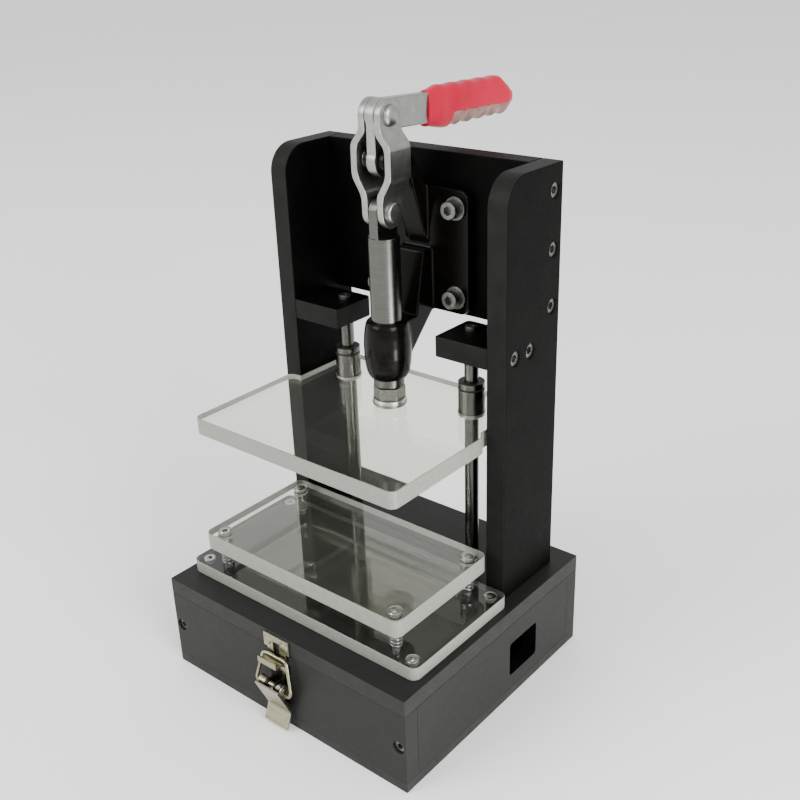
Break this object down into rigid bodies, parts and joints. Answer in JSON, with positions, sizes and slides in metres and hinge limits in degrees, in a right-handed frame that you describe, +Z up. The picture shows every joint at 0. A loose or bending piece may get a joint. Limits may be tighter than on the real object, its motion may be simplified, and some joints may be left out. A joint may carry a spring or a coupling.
{
  "type": "pcb test fixture",
  "caption": "Bench test fixture for bare circuit boards: hinged wiring box, gantry, and a toggle clamp that drives a clear press plate down guide rods onto a sprung carrier plate.",
  "frame": {"origin": "centre of the underside of the box, on the bench", "axes": "+X to the right, +Y to the back, +Z up"},
  "size_m": [0.18, 0.2273, 0.3325],
  "materials": {
    "black_board": "satin black phenolic board with fine machining marks",
    "clear_acrylic": "clear polished acrylic sheet with frosted sawn edges",
    "black_casting": "black painted casting",
    "zinc_steel": "bright zinc plate",
    "ground_steel": "ground and polished",
    "screw_steel": "nickel plated screws",
    "spring_steel": "drawn wire",
    "latch_nickel": "warm nickel plated sheet",
    "red_grip": "dipped red vinyl, semi gloss"
  },
  "bodies": {
    "base": {"bottom_plate": "black_board", "front_panel": "black_board", "rear_panel": "black_board", "left_panel": "black_board", "right_panel": "black_board", "panel_screws": "screw_steel", "bottom_screws": "screw_steel", "hinge_base_leaves": "zinc_steel", "hinge_pins": "ground_steel", "hinge_base_screws": "screw_steel", "latch_plate": "latch_nickel", "latch_pin": "latch_nickel", "latch_rivets": "latch_nickel", "latch_spring": "spring_steel"},
    "latch_lever": {"latch_lever": "latch_nickel"},
    "latch_bail": {"latch_bail": "latch_nickel"},
    "lid": {"lid_plate": "black_board", "hinge_lid_leaves": "zinc_steel", "hinge_lid_screws": "screw_steel", "keeper": "latch_nickel", "keeper_rivets": "latch_nickel", "left_upright": "black_board", "right_upright": "black_board", "upright_screws": "screw_steel", "back_plate": "black_board", "back_plate_screws": "screw_steel", "left_rod_block": "black_board", "right_rod_block": "black_board", "block_screws": "screw_steel", "rod_screws": "screw_steel", "left_guide_rod": "ground_steel", "right_guide_rod": "ground_steel", "probe_plate": "clear_acrylic", "probe_screws": "screw_steel", "carrier_bolts": "screw_steel", "carrier_springs": "spring_steel", "clamp_body": "black_casting", "clamp_screws": "screw_steel", "clamp_washers": "screw_steel", "pivot_pin": "zinc_steel"},
    "carrier": {"carrier_plate": "clear_acrylic", "carrier_bushes": "ground_steel"},
    "handle": {"handle_bar": "zinc_steel", "grip": "red_grip"},
    "links": {"left_link": "zinc_steel", "right_link": "zinc_steel", "top_rivet": "zinc_steel", "tang_rivets": "zinc_steel"},
    "press": {"plunger": "ground_steel", "plunger_foot": "ground_steel", "foot_nut": "screw_steel", "foot_screw": "screw_steel", "press_plate": "clear_acrylic", "left_bearing": "ground_steel", "right_bearing": "ground_steel", "bearing_rings": "black_casting"}
  },
  "joints": [
    {"name": "lid_hinge", "type": "hinge", "parent": "base", "child": "lid", "pos_m": [0, 0.0859, 0.05], "axis": [-1, 0, 0], "range_deg": [0, 75]},
    {"name": "latch_pivot", "type": "hinge", "parent": "base", "child": "latch_lever", "pos_m": [0, -0.089, 0.03], "axis": [-1, 0, 0], "range_deg": [0, 120]},
    {"name": "bail_pivot", "type": "hinge", "parent": "latch_lever", "child": "latch_bail", "pos_m": [0, -0.0885, 0.0265], "axis": [-1, 0, 0], "range_deg": [-120, 0]},
    {"name": "carrier_slide", "type": "slide", "parent": "lid", "child": "carrier", "axis": [0, 0, 1], "range_m": [-0.004, 0], "stiffness_N_per_m": 2000, "springref_m": 0.002, "deforming": ["carrier_springs"]},
    {"name": "handle_pivot", "type": "hinge", "parent": "lid", "child": "handle", "pos_m": [0, 0.0195, 0.3], "axis": [1, 0, 0], "range_deg": [0, 180]},
    {"name": "link_pivot", "type": "hinge", "parent": "handle", "child": "links", "pos_m": [0, 0.0195, 0.323], "axis": [1, 0, 0], "range_deg": [-180, 0]},
    {"name": "press_slide", "type": "slide", "parent": "lid", "child": "press", "axis": [0, 0, 1], "range_m": [-0.046, 0]}
  ],
  "couplings": [
    {"joint": "bail_pivot", "follows": "latch_pivot", "ratio": -1},
    {"joint": "link_pivot", "follows": "handle_pivot", "ratio": -1},
    {"joint": "press_slide", "follows": "handle_pivot", "m_per_rad": -0.014642}
  ]
}
